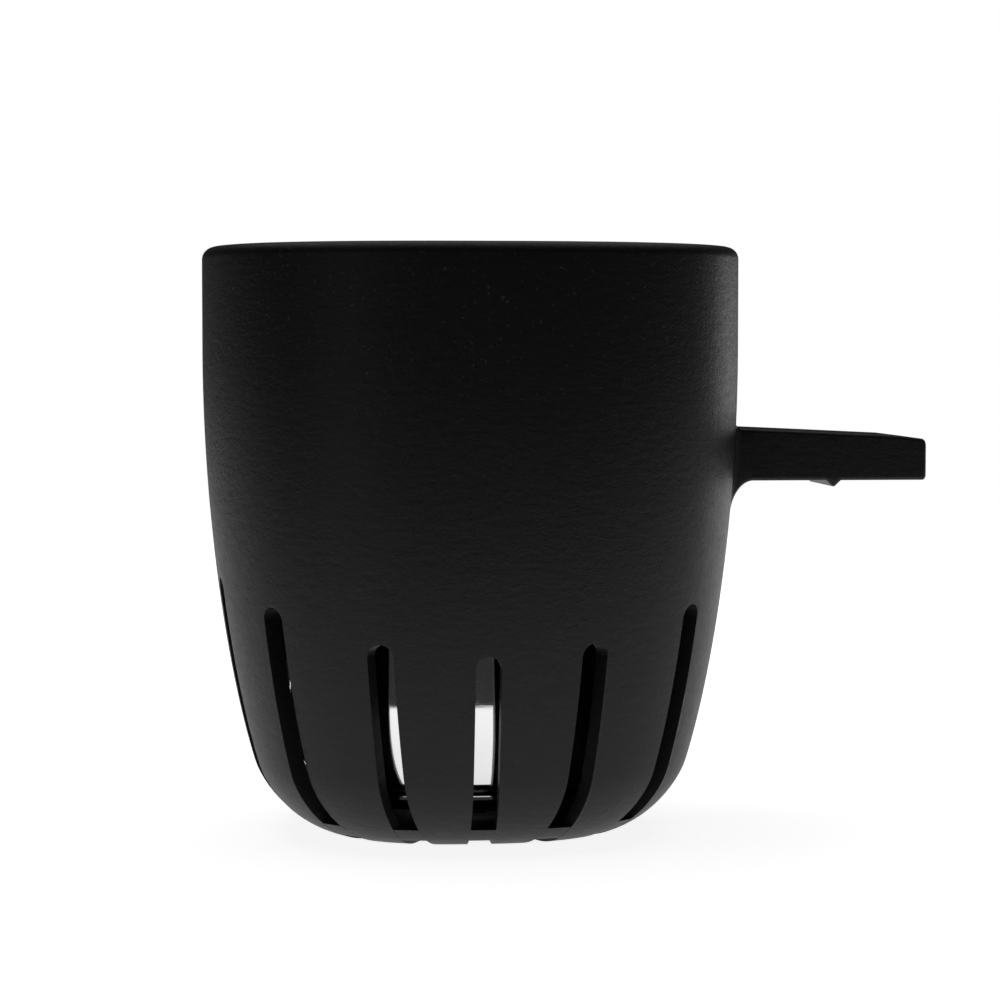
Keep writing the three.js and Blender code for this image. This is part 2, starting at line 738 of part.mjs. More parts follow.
function pumpCan() {
  const outside = canOutline();
  const inside = outside.map((point) => new THREE.Vector2(point.x - CAN_WALL, point.y)).reverse();
  const flangeTop = BULKHEAD_UNDER - 0.2;
  const flangeUnder = flangeTop - 0.8;
  const outline = [
    ...outside,
    new THREE.Vector2(CAN_HALF_WIDTH, flangeUnder),
    new THREE.Vector2(CAN_FLANGE_HALF_WIDTH, flangeUnder),
    new THREE.Vector2(CAN_FLANGE_HALF_WIDTH, flangeTop),
    new THREE.Vector2(CAN_HALF_WIDTH - CAN_WALL, flangeTop),
    ...inside,
    outside[0].clone(),
  ];
  const windows = [130, 150, 210, 230].map((degrees) => {
    const geometry = new THREE.BoxGeometry(5, 20, 6);
    geometry.translate(0, -20, 0);
    geometry.rotateZ(THREE.MathUtils.degToRad(degrees));
    geometry.translate(0, 0, 23);
    return solid(geometry);
  });
  return without(ovalSolid(outline, CAN_INSET), [
    ...windows,
    ...PROBE_ANGLES.map((degrees) => bar(PROBE_RADIUS + 0.2, 28, 40, ...behind(degrees), 16)),
    ...[-1, 1].map((sign) => bar(0.9, 30, 34, sign * 25, 0, 12)),
  ]);
}

add("pump_can", polishedSteel, pumpCan());

// The base is a plate whose lip is turned up round the can and follows its curve.
function canBase() {
  const curve = canOutline().slice(0, 3);
  const outward = (index, distance) => {
    const before = curve[Math.max(index - 1, 0)];
    const after = curve[Math.min(index + 1, 2)];
    const along = after.clone().sub(before).normalize();
    return [curve[index].x + distance * along.y, curve[index].y - distance * along.x];
  };
  const far = BASE_GAP + BASE_THICKNESS;
  const plateUnder = CAN_FOOT_Z - 0.9;
  const plate = ovalPiece(
    [
      [0, plateUnder],
      [CAN_FOOT_HALF_WIDTH, plateUnder],
      outward(1, far),
      outward(2, far),
      outward(2, BASE_GAP),
      outward(1, BASE_GAP),
      outward(0, BASE_GAP),
      [0, plateUnder + BASE_THICKNESS],
    ],
    CAN_INSET,
  );
  return plate.subtract(bar(INLET_RADIUS, 0, CAN_FOOT_Z + 2, 0, 0, 32));
}

add("can_base", polishedSteel, canBase());
[-1, 1].forEach((sign, i) => {
  const head = bar(1.1, 30.2, BULKHEAD_UNDER - 1.2, sign * 25, 0, 16);
  const shank = bar(0.75, 31, 34.6, sign * 25, 0, 12);
  add("can_screw_" + (i + 1), plainSteel, head.add(shank));
});

// ---- heater, probe and level pins ----

function heaterPath() {
  const points = [];
  const turnSteps = 8;
  const steps = COIL_TURNS * turnSteps;
  [36.9, 32, 27, 22].forEach((z) => points.push(new THREE.Vector3(COIL_LEG, 0, z)));
  points.push(new THREE.Vector3(COIL_LEG - 0.2, 0.6, COIL_LOW + 2.5));
  for (let i = 1; i < steps; i += 1) {
    const angle = (2 * Math.PI * i) / turnSteps;
    const z = COIL_LOW + ((COIL_HIGH - COIL_LOW) * i) / steps;
    points.push(new THREE.Vector3(COIL_RADIUS * Math.cos(angle), COIL_RADIUS * Math.sin(angle), z));
  }
  [COIL_HIGH + 1.5, 32, 36.9].forEach((z) => points.push(new THREE.Vector3(-COIL_LEG, 0, z)));
  return new THREE.CatmullRomCurve3(points, false, "centripetal");
}

function heater() {
  const section = new THREE.Shape();
  section.absarc(0, 0, COIL_TUBE, 0, 2 * Math.PI);
  return solid(
    new THREE.ExtrudeGeometry(section, { steps: 72, curveSegments: 4, bevelEnabled: false, extrudePath: heaterPath() }),
  );
}

add("heater_element", plainSteel, heater());

["level_pin_1", "temperature_probe", "level_pin_2"].forEach((name, i) => {
  const low = name === "temperature_probe" ? 20 : 23;
  add(name, polishedSteel, bar(PROBE_RADIUS, low, 37, ...behind(PROBE_ANGLES[i]), 16));
});

export default model;
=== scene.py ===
# %% [markdown]
# # A compact sous vide circulator
# A black moulded body hangs on a pot by the lug at its side. Water is drawn in through the tall
# slots and the guard in the floor, warmed inside a steel can and pushed out again.
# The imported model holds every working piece. This lesson builds the fine surfaces round it:
# the ribbed housing, the polished can, the cover with its controls, and their finishes.

# %% Load the frame
import json
import math

import bmesh
import bpy
from mathutils import Matrix, Vector


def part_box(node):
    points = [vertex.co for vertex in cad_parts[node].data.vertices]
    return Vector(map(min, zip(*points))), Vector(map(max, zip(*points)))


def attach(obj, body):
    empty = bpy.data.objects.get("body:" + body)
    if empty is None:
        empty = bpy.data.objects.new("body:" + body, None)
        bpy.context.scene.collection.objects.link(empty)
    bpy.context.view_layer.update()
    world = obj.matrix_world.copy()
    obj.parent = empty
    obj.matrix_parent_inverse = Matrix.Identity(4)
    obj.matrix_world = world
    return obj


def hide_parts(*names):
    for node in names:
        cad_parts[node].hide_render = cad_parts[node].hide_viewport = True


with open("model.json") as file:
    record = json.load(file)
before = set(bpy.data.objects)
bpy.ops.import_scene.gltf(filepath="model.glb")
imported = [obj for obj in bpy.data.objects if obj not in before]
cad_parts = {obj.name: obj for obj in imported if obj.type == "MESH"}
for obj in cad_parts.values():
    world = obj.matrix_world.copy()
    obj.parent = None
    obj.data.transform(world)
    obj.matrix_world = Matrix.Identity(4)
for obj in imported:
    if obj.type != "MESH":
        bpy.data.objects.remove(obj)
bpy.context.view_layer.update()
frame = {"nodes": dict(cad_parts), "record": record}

MM = 0.001
scene = bpy.context.scene
collection = scene.collection

# %% [markdown]
# ## Sizes
# The large sizes come from the frame, so the fine shell can't drift away from the working model.
# The small ones, such as the slots' width, repeat the model's own driving dimensions.

# %% Driving sizes, in millimetres
housing_low, housing_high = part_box("slotted_housing")
HALF_WIDTH = -housing_low[0] / MM
HALF_DEPTH = housing_high[1] / MM
HEIGHT = housing_high[2] / MM
LUG_TIP = housing_high[0] / MM
OVAL = HALF_DEPTH / HALF_WIDTH
mounts = {mount["name"]: mount for mount in frame["record"]["mounts"]}
LUG_UNDER = mounts["pot_lug"]["pos_m"][2] / MM
BLUNT = 2.55
WALL = 2.2
RIM_RADIUS = 1.4
FLOOR_UNDER = 1.0
FLOOR_TOP = 2.6
SLOT_COUNT = 14
SLOT_HALF = 1.475
SLOT_TOP_FRONT = 23.4
SLOT_TOP_RISE = 7.9
NOTCH_FROM = 11.0
GUARD_RADIUS = 7.5
GUARD_HUB = 3.5
GUARD_SPOKE = 1.6
BORE_LOW = 27.9
BORE_HIGH = 29.6
LEDGE = 26.6
LEDGE_UNDER = 31.2
LEDGE_TOP = 32.0
print("body", 2 * HALF_WIDTH, "x", round(2 * HALF_DEPTH, 1), "x", HEIGHT, "lug tip", round(LUG_TIP, 1))

# %% [markdown]
# ## Mesh helpers
# Most pieces here are grids of points bent round an oval. One helper turns points and faces into
# an object, and one bevels edges that were marked while the grid was made.

# %% Helpers that make objects
def make_object(name, points, faces, smooth=True):
    """A mesh object from points in millimetres."""
    mesh = bpy.data.meshes.new(name)
    mesh.from_pydata([[c * MM for c in p] for p in points], [], faces)
    mesh.validate()
    mesh.update()
    if smooth:
        mesh.shade_smooth()
    obj = bpy.data.objects.new(name, mesh)
    collection.objects.link(obj)
    return obj


def apply_modifiers(obj):
    """Bakes the modifiers into the mesh, so that the mesh holds what is seen."""
    depsgraph = bpy.context.evaluated_depsgraph_get()
    mesh = bpy.data.meshes.new_from_object(obj.evaluated_get(depsgraph))
    obj.modifiers.clear()
    obj.data = mesh
    return obj


def bevel(obj, width, segments=3, angle=None):
    """Rounds edges: those with a bevel weight, or those sharper than an angle in degrees."""
    mod = obj.modifiers.new("bevel", "BEVEL")
    mod.width = width * MM
    mod.segments = segments
    mod.use_clamp_overlap = True
    mod.miter_outer = "MITER_ARC"
    mod.limit_method = "WEIGHT" if angle is None else "ANGLE"
    if angle is not None:
        mod.angle_limit = math.radians(angle)
    return mod


def even_normals(obj):
    """Large faces keep their own normals, so flat walls look flat beside their rounded edges."""
    mod = obj.modifiers.new("normals", "WEIGHTED_NORMAL")
    mod.keep_sharp = True
    mod.weight = 60
    return mod


def cut(obj, *cutters):
    """Cuts other meshes out of this one and throws them away."""
    for cutter in cutters:
        mod = obj.modifiers.new("cut", "BOOLEAN")
        mod.operation = "DIFFERENCE"
        mod.solver = "EXACT"
        mod.object = cutter
        apply_modifiers(obj)
        bpy.data.objects.remove(cutter)
    return obj


def join(name, *objects):
    """Makes one piece of several."""
    mesh = bmesh.new()
    for obj in objects:
        mesh.from_mesh(obj.data)
    joined = bpy.data.meshes.new(name)
    mesh.to_mesh(joined)
    mesh.free()
    for obj in objects:
        bpy.data.objects.remove(obj)
    result = bpy.data.objects.new(name, joined)
    collection.objects.link(result)
    return result


# %% [markdown]
# ## Turned and oval pieces
# A lathe outline is a list of (radius, height) points. An oval piece is the same lathe with each
# ring pressed to the body's plan, which is a superellipse: |x/a|^n + |y/b|^n = 1. With n = 2 that
# would be an ellipse, and a little more makes its ends blunter. A plain scale along Y would thin
# the wall at the front, so each ring's half-depth is worked out from how far inside the body's
# outer face that ring lies.

# %% Lathe helpers
def half_depth(half_width, inset):
    return OVAL * (half_width + inset) - inset


def reach(x, y, a, b):
    """How far an oval reaches from its middle in the direction (x, y), which is one long."""
    return (abs(x / a) ** BLUNT + abs(y / b) ** BLUNT) ** (-1 / BLUNT)


def lathe(name, outline, sides=96, inset=None, centre=(0, 0), closed=False):
    """Turns (radius, height) points. With an inset the rings are ovals. An outline that isn't closed
    ends on flat caps, or on the axis where its radius is 0."""
    points, faces, rings = [], [], []
    for radius, z in outline:
        if radius < 1e-6:
            rings.append([len(points)])
            points.append((centre[0], centre[1], z))
            continue
        rings.append(list(range(len(points), len(points) + sides)))
        for i in range(sides):
            x, y = math.cos(2 * math.pi * i / sides), math.sin(2 * math.pi * i / sides)
            distance = radius if inset is None else reach(x, y, radius, half_depth(radius, inset))
            points.append((centre[0] + distance * x, centre[1] + distance * y, z))
    pairs = list(zip(rings, rings[1:]))
    if closed:
        pairs.append((rings[-1], rings[0]))
    for a, b in pairs:
        for i in range(sides):
            j = (i + 1) % sides
            if len(a) == 1 and len(b) > 1:
                faces.append((a[0], b[j], b[i]))
            elif len(b) == 1 and len(a) > 1:
                faces.append((a[i], a[j], b[0]))
            elif len(a) > 1:
                faces.append((a[i], a[j], b[j], b[i]))
    if not closed:
        if len(rings[0]) > 1:
            faces.append(tuple(reversed(rings[0])))
        if len(rings[-1]) > 1:
            faces.append(tuple(rings[-1]))
    return make_object(name, points, faces)


def rounded_slab(name, width, depth, low, high, centre=(0, 0), corner=1.0, steps=6):
    """An upright slab with rounded corners in plan."""
    plan = []
    for sx, sy, start in ((1, 1, 0), (-1, 1, 90), (-1, -1, 180), (1, -1, 270)):
        for i in range(steps + 1):
            angle = math.radians(start + 90 * i / steps)
            x = sx * (width / 2 - corner) + corner * math.cos(angle)
            y = sy * (depth / 2 - corner) + corner * math.sin(angle)
            plan.append((centre[0] + x, centre[1] + y))
    count = len(plan)
    points = [(x, y, low) for x, y in plan] + [(x, y, high) for x, y in plan]
    faces = [tuple(reversed(range(count))), tuple(range(count, 2 * count))]
    for i in range(count):
        j = (i + 1) % count
        faces.append((i, j, count + j, count + i))
    return make_object(name, points, faces, smooth=False)


# %% [markdown]
# ## The side outline
# Seen from the front the wall is straight for the upper fifth, draws in slowly, then turns under
# in a tight curve to a flat foot. Two Bezier stretches give that with eight points. The row list
# is the outline walked at even steps, which the wall's grid uses later.

# %% Side outline
def bezier(a, b, c, d, steps):
    points = []
    for i in range(steps + 1):
        t = i / steps
        k = ((1 - t) ** 3, 3 * t * (1 - t) ** 2, 3 * t * t * (1 - t), t ** 3)
        points.append(tuple(k[0] * p + k[1] * q + k[2] * r + k[3] * s for p, q, r, s in zip(a, b, c, d)))
    return points


def arc(cx, cz, radius, start, end, steps):
    turns = [math.radians(start + (end - start) * i / steps) for i in range(steps + 1)]
    return [(cx + radius * math.cos(t), cz + radius * math.sin(t)) for t in turns]


FOOT = (14.0, 0.0)
KNEE = (26.0, 8.8)
KNEE_SLOPE = (0.29, 0.957)
STRAIGHT_FROM = 58.0


def along_knee(distance):
    return tuple(k + distance * s for k, s in zip(KNEE, KNEE_SLOPE))


under_turn = bezier(FOOT, (FOOT[0] + 7.2, 0.0), along_knee(-2.5), KNEE, 60)
straight_end = (HALF_WIDTH, STRAIGHT_FROM)
side_rise = bezier(KNEE, along_knee(11.6), (HALF_WIDTH, STRAIGHT_FROM - 19.3), straight_end, 120)
rim_turn = arc(HALF_WIDTH - RIM_RADIUS, HEIGHT - RIM_RADIUS, RIM_RADIUS, 0, 90, 8)
outline = under_turn + side_rise[1:]


def at_length(path, lengths, t):
    """The point at distance t along a path."""
    for i in range(1, len(path)):
        if lengths[i] >= t or i == len(path) - 1:
            span = lengths[i] - lengths[i - 1]
            share = 0 if span == 0 else min(max((t - lengths[i - 1]) / span, 0), 1)
            return tuple(p + (q - p) * share for p, q in zip(path[i - 1], path[i]))


def length_at_height(path, lengths, z):
    for i in range(1, len(path)):
        if path[i][1] >= z > path[i - 1][1]:
            share = (z - path[i - 1][1]) / (path[i][1] - path[i - 1][1])
            return lengths[i - 1] + share * (lengths[i] - lengths[i - 1])
    return lengths[-1]


def lengths_of(path):
    total, result = 0.0, [0.0]
    for p, q in zip(path, path[1:]):
        total += math.dist(p, q)
        result.append(total)
    return result


FOOT_INNER = NOTCH_FROM - 0.4
wall_path = [(FOOT_INNER, 0.0)] + outline + [(HALF_WIDTH, HEIGHT - RIM_RADIUS)]
wall_lengths = lengths_of(wall_path)
print("outline length", round(wall_lengths[-1], 1), "mm")

# %% [markdown]
# ## The ribbed housing
# The slots could be cut out of a finished shell with booleans, but that leaves ragged edges which
# can't be rounded. Here the grid is laid out round the slots instead. Columns run up each slot's
# edges, and their rows bend over its round top. The slot edges then take a clean moulded radius.
#
# Each column is either at a fixed distance from a slot's middle plane, or a share of the way
# across the rib between two slots. Each row is a share of the way from the foot to the slot's
# top, or from there to the rim.

# %% Columns and rows of the wall
ARCH_STEPS = 10
RIB_SHARES = [0.06, 0.14, 0.24, 0.35, 0.45, 0.55, 0.65, 0.76, 0.86, 0.94]
LOWER_ROWS = 46
UPPER_ROWS = 34


def slot_plane(k):
    """The outward direction of slot k and the direction across it."""
    angle = 2 * math.pi * k / SLOT_COUNT
    return (math.sin(angle), -math.cos(angle)), (math.cos(angle), math.sin(angle))


def slot_centre_height(k):
    """The height of the middle of a slot's round top."""
    out, _ = slot_plane(k)
    across = out[0] * reach(*out, 1, OVAL)
    return SLOT_TOP_FRONT + SLOT_TOP_RISE * across ** 2 - SLOT_HALF


def on_slot_line(k, offset, a, b):
    """The point of an oval that lies at a given distance from slot k's middle plane."""
    out, side = slot_plane(k)
    distance = reach(*out, a, b)
    for _ in range(5):
        x, y = distance * out[0] + offset * side[0], distance * out[1] + offset * side[1]
        length = math.hypot(x, y)
        distance += reach(x / length, y / length, a, b) - length
    return distance * out[0] + offset * side[0], distance * out[1] + offset * side[1]


def on_rib(k, share, a, b):
    """The point a share of the way across the rib that follows slot k."""
    x0, y0 = on_slot_line(k, SLOT_HALF, a, b)
    x1, y1 = on_slot_line((k + 1) % SLOT_COUNT, -SLOT_HALF, a, b)
    start, end = math.atan2(y0, x0), math.atan2(y1, x1)
    if end < start:
        end += 2 * math.pi
    angle = start + (end - start) * share
    x, y = math.cos(angle), math.sin(angle)
    distance = reach(x, y, a, b)
    return distance * x, distance * y


columns = []
for k in range(SLOT_COUNT):
    for j in range(ARCH_STEPS + 1):
        turn = math.pi * (j / ARCH_STEPS - 0.5)
        columns.append({
            "slot": k,
            "place": lambda a, b, k=k, s=SLOT_HALF * math.sin(turn): on_slot_line(k, s, a, b),
            "centre": slot_centre_height(k),
            "arch": SLOT_HALF * math.cos(turn),
            "edge": j in (0, ARCH_STEPS),
            "open": 0 < j < ARCH_STEPS,
        })
    here, after = slot_centre_height(k), slot_centre_height((k + 1) % SLOT_COUNT)
    for share in RIB_SHARES:
        ease = share * share * (3 - 2 * share)
        columns.append({
            "slot": None,
            "place": lambda a, b, k=k, share=share: on_rib(k, share, a, b),
            "centre": here + (after - here) * ease,
            "arch": 0.0,
            "edge": False,
            "open": False,
        })
print(len(columns), "columns")


# %% [markdown]
# The inner face follows the outer one at the wall's thickness. Down at the foot it lies buried in
# the floor plate, which is made after this. Above the slots it carries the ledge that the bulkhead
# rests on, then the bore up to the rim.

# %% Points of the wall
def inner_partner(x, z):
    """The inner point that faces an outer point below the slots' tops: (half-width, height, inset)."""
    if z > FLOOR_TOP:
        return x - WALL, z, WALL
    share = (x - FOOT_INNER) / (at_floor_top - FOOT_INNER)
    return FOOT_INNER + share * (at_floor_top - WALL - FOOT_INNER), FLOOR_TOP - 0.8, WALL * share


at_floor_top = at_length(wall_path, wall_lengths, length_at_height(wall_path, wall_lengths, FLOOR_TOP))[0]
bore_path = [
    (LEDGE, LEDGE_UNDER, WALL),
    (LEDGE, LEDGE_TOP, WALL),
    (BORE_LOW, LEDGE_TOP, WALL),
    (BORE_LOW + 0.6, 44.0, WALL),
    (BORE_HIGH, 60.0, WALL),
    (BORE_HIGH, HEIGHT - 1.6, WALL),
    (BORE_HIGH, HEIGHT - 0.4, WALL),
]
rim_rows = [(x, z, HALF_WIDTH - x) for x, z in rim_turn[1:]]
rim_rows += [(BORE_HIGH + 0.35, HEIGHT, WALL), (BORE_HIGH + 0.1, HEIGHT - 0.1, WALL)]
CHAMBER_ROWS = 8


def column_rows(column):
    """Outer and inner rows of a column, as (half-width, height, inset). Rows under an open slot are None."""
    start = length_at_height(wall_path, wall_lengths, column["centre"])
    outer, inner = [], []
    for i in range(LOWER_ROWS):
        if column["open"]:
            outer.append(None)
            inner.append(None)
            continue
        x, z = at_length(wall_path, wall_lengths, start * i / LOWER_ROWS)
        outer.append((x, z, 0.0))
        inner.append(inner_partner(x, z))
    arch_height = column["centre"] + column["arch"]
    start = length_at_height(wall_path, wall_lengths, arch_height)
    for i in range(UPPER_ROWS + 1):
        share = (i / UPPER_ROWS) ** 1.25
        x, z = at_length(wall_path, wall_lengths, start + (wall_lengths[-1] - start) * share)
        outer.append((x, z, 0.0))
    for i in range(CHAMBER_ROWS):
        z = arch_height + (LEDGE_UNDER - arch_height) * i / (CHAMBER_ROWS - 1)
        x = at_length(wall_path, wall_lengths, length_at_height(wall_path, wall_lengths, z))[0]
        inner.append((x - WALL, z, WALL))
    return outer + rim_rows, inner + bore_path


# %% Build the wall's mesh
def build_wall():
    points, faces, marked = [], [], set()
    outer_ids, inner_ids = [], []
    for column in columns:
        outer, inner = column_rows(column)
        for rows, store in ((outer, outer_ids), (inner, inner_ids)):
            ids = []
            for row in rows:
                if row is None:
                    ids.append(None)
                    continue
                x, y = column["place"](row[0], half_depth(row[0], row[2]))
                ids.append(len(points))
                points.append((x, y, row[1]))
            store.append(ids)
    count = len(columns)
    for c in range(count):
        d = (c + 1) % count
        over_slot = columns[c]["open"] or columns[d]["open"]
        first = LOWER_ROWS if over_slot else 0
        for ids, flip in ((outer_ids, False), (inner_ids, True)):
            for i in range(first, len(ids[c]) - 1):
                quad = (ids[c][i], ids[d][i], ids[d][i + 1], ids[c][i + 1])
                faces.append(quad[::-1] if flip else quad)
        top = (outer_ids[c][-1], outer_ids[d][-1], inner_ids[d][-1], inner_ids[c][-1])
        low = (inner_ids[c][first], inner_ids[d][first], outer_ids[d][first], outer_ids[c][first])
        faces.extend((top, low))
        if over_slot:
            marked.add(frozenset((outer_ids[c][first], outer_ids[d][first])))
            marked.add(frozenset((inner_ids[c][first], inner_ids[d][first])))
    for c in range(count):
        if not columns[c]["edge"]:
            continue
        left_edge = columns[(c + 1) % count]["open"]
        for i in range(LOWER_ROWS):
            quad = (outer_ids[c][i], outer_ids[c][i + 1], inner_ids[c][i + 1], inner_ids[c][i])
            faces.append(quad if left_edge else quad[::-1])
            marked.add(frozenset((outer_ids[c][i], outer_ids[c][i + 1])))
            marked.add(frozenset((inner_ids[c][i], inner_ids[c][i + 1])))
    wall = make_object("housing_wall", points, faces)
    weights = wall.data.attributes.new("bevel_weight_edge", "FLOAT", "EDGE")
    for edge in wall.data.edges:
        if frozenset(edge.vertices) in marked:
            weights.data[edge.index].value = 1.0
    return wall


wall = build_wall()
bevel(wall, 0.55, 3)
apply_modifiers(wall)
print("wall:", len(wall.data.vertices), "points")

# %% [markdown]
# ## The floor and its guard
# Between the ribs the floor plate shows as a dark step. Its underside sits a millimetre above the
# feet, which leaves the small notches along the bottom edge. A ring joins the ribs' inner ends,
# and four spokes with a hub guard the impeller.

# %% Floor plate, ring and guard
def floor_outline():
    edge_low = length_at_height(wall_path, wall_lengths, FLOOR_UNDER)
    edge_high = length_at_height(wall_path, wall_lengths, FLOOR_TOP)
    rows = [(GUARD_RADIUS, 0.0), (GUARD_RADIUS + 1.2, 0.0), (NOTCH_FROM - 0.3, 0.0), (NOTCH_FROM, 0.3)]
    rows += [(NOTCH_FROM, FLOOR_UNDER), (15.0, FLOOR_UNDER)]
    for i in range(7):
        x, z = at_length(wall_path, wall_lengths, edge_low + (edge_high - edge_low) * i / 6)
        rows.append((x - 0.05, z))
    return rows + [(15.0, FLOOR_TOP), (GUARD_RADIUS, FLOOR_TOP)]


def build_floor():
    """The plate's rings pass from a round hole to the oval of the body."""
    sides, points, faces = 196, [], []
    rows = floor_outline()
    for radius, z in rows:
        oval = min(max((radius - GUARD_RADIUS) / (NOTCH_FROM - GUARD_RADIUS), 0), 1)
        for i in range(sides):
            x, y = math.cos(2 * math.pi * i / sides), math.sin(2 * math.pi * i / sides)
            distance = radius + (reach(x, y, radius, OVAL * radius) - radius) * oval
            points.append((distance * x, distance * y, z))
    for r in range(len(rows)):
        a, b = r * sides, ((r + 1) % len(rows)) * sides
        for i in range(sides):
            j = (i + 1) % sides
            faces.append((a + i, a + j, b + j, b + i))
    plate = make_object("floor_plate", points, faces)
    hub_side = [(GUARD_HUB - 0.3, 0), (GUARD_HUB, 0.3), (GUARD_HUB, 2.0)]
    hub = lathe("guard_hub", [(0, 0)] + hub_side + [(2.4, FLOOR_TOP), (0, FLOOR_TOP)], 64)
    spokes = []
    for degrees in (45, 135):
        length = 2 * GUARD_RADIUS + 1.6
        spoke = rounded_slab("guard_spoke", length, GUARD_SPOKE, 0.0, FLOOR_TOP - 0.2, corner=0.2, steps=2)
        spoke.data.transform(Matrix.Rotation(math.radians(degrees), 4, "Z"))
        bevel(spoke, 0.25, 2, angle=60)
        spokes.append(apply_modifiers(spoke))
    return [plate, hub, *spokes]


floor_pieces = build_floor()

# %% [markdown]
# ## The pot lug
# The lug is one moulding with the wall, so it has to flow out of it. It is built as rings. Each
# ring is a rounded rectangle at some distance from the wall. Close to the wall the rings swell,
# which makes the root fillet, and more below than above, which makes the gusset. Two rings dip
# under the lug for the small nub that keeps a pot's rim in place.

# %% Lug rings
LUG_ROOT_TOP = 48.5
LUG_TIP_TOP = 47.1
LUG_WIDTH = 14.0
LUG_FILLET = 0.7
GUSSET_REACH = 2.3
GUSSET_DROP = 4.1
NUB_X = 43.5
NUB_HALF = 0.9
NUB_DROP = 0.85
LUG_EDGE = 0.45


def lug_section(low, high, half, edge):
    """Points round a rounded rectangle in (y, z), with a flag that is 1 on the underside."""
    section = []
    for sy, sz, start in ((1, 1, 0), (-1, 1, 90), (-1, -1, 180), (1, -1, 270)):
        cy = sy * (half - edge)
        cz = high - edge if sz > 0 else low + edge
        for i in range(5):
            angle = math.radians(start + 90 * i / 4)
            section.append((cy + edge * math.cos(angle), cz + edge * math.sin(angle)))
        if sz > 0 and sy > 0:
            section += [((half - edge) * (1 - 2 * i / 8), high) for i in range(1, 8)]
        elif sy < 0 < sz:
            section += [(-half, high - edge + (low - high + 2 * edge) * i / 4) for i in range(1, 4)]
        elif sy < 0:
            section += [(-(half - edge) * (1 - 2 * i / 8), low) for i in range(1, 8)]
        else:
            section += [(half, low + edge + (high - low - 2 * edge) * i / 4) for i in range(1, 4)]
    return section


def wall_x(y, z):
    """How far out the body's face is at this place on its right-hand side."""
    a = at_length(wall_path, wall_lengths, length_at_height(wall_path, wall_lengths, z))[0]
    return a * (1 - abs(y / (OVAL * a)) ** BLUNT) ** (1 / BLUNT)


def flare(distance, reach, size):
    """A quarter-ellipse fillet: how much a side swells at this distance from the wall."""
    if distance >= reach:
        return 0.0
    left = (reach - max(distance, 0)) / reach
    return size * (1 - math.sqrt(max(1 - left * left, 0)))


def top_at(x):
    share = (x - HALF_WIDTH) / (LUG_TIP - HALF_WIDTH)
    return LUG_ROOT_TOP + (LUG_TIP_TOP + 0.3 - LUG_ROOT_TOP) * share


def build_lug():
    length = LUG_TIP - HALF_WIDTH
    steps = [-1.2, -0.3] + [GUSSET_REACH * (1 - math.cos(math.pi / 2 * i / 12)) for i in range(13)]
    steps += [3.4, 5.0, 7.0, 9.0]
    nub = NUB_X - HALF_WIDTH
    steps += [nub - NUB_HALF - 0.3, nub - NUB_HALF, nub - 0.45, nub - 0.12, nub + 0.12, nub + 0.45]
    steps += [nub + NUB_HALF, nub + NUB_HALF + 0.3, 14.0, 16.0, 18.0, 19.6]
    tip = [(math.sin(math.pi / 2 * i / 6), math.cos(math.pi / 2 * i / 6)) for i in range(7)]
    steps += [length - LUG_EDGE + LUG_EDGE * s for s, _ in tip]
    points, faces, rings = [], [], []
    for distance in steps:
        x = HALF_WIDTH + distance
        rise = flare(distance, LUG_FILLET, LUG_FILLET)
        drop = flare(distance, GUSSET_REACH, GUSSET_DROP)
        closing = max(distance - (length - LUG_EDGE), 0) / LUG_EDGE
        pull = LUG_EDGE * (1 - math.sqrt(max(1 - closing * closing, 0)))
        round_top = 0.4 * max((x - (LUG_TIP - 2.6)) / 2.6, 0) ** 2.4
        low = LUG_UNDER - drop + pull
        high = top_at(x) + rise - pull - round_top
        ring = []
        for y, z in lug_section(low, high, LUG_WIDTH / 2 + rise - pull, LUG_EDGE):
            under = NUB_DROP * max(1 - abs(x - NUB_X) / NUB_HALF, 0)
            if z < low + 0.01 and abs(distance - nub) < NUB_HALF:
                z -= under
            elif z < low + LUG_EDGE and abs(distance - nub) < NUB_HALF:
                z -= under * (low + LUG_EDGE - z) / LUG_EDGE
            follow = max(1 - max(distance, 0) / 8.0, 0)
            ring.append(len(points))
            points.append((x + (wall_x(y, z) - HALF_WIDTH) * follow, y, z))
        rings.append(ring)
    for a, b in zip(rings, rings[1:]):
        for i in range(len(a)):
            j = (i + 1) % len(a)
            faces.append((a[i], a[j], b[j], b[i]))
    faces.append(tuple(reversed(rings[0])))
    faces.append(tuple(rings[-1]))
    return make_object("pot_lug", points, faces)


lug = build_lug()
housing = join("housing_shell", wall, lug, *floor_pieces)
housing.data.shade_smooth()
housing.data.set_sharp_from_angle(angle=math.radians(42))
even_normals(housing)
apply_modifiers(housing)
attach(housing, "circulator_body")
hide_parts("slotted_housing")
print("housing:", len(housing.data.polygons), "faces")

# %% [markdown]
# ## The steel can
# Behind the slots stands a drawn and polished can. It is a thin oval shell with a flange at the
# top, drawn in at the foot, where the lip of a base plate is turned up round it. It is made as one
# closed outline that runs down the outside and back up the inside, with far more rings than the
# working model, because a polished face shows every flat.

# %% Can and base
CAN_INSET = 6.2
CAN_WALL = 0.8
can_low, can_high = (tuple(c / MM for c in corner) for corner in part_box("pump_can"))
CAN_FLANGE = can_high[0]
CAN_HALF = CAN_FLANGE - 2.6
CAN_FOOT = 16.6
CAN_FOOT_Z = can_low[2]
CAN_TOP = can_high[2]


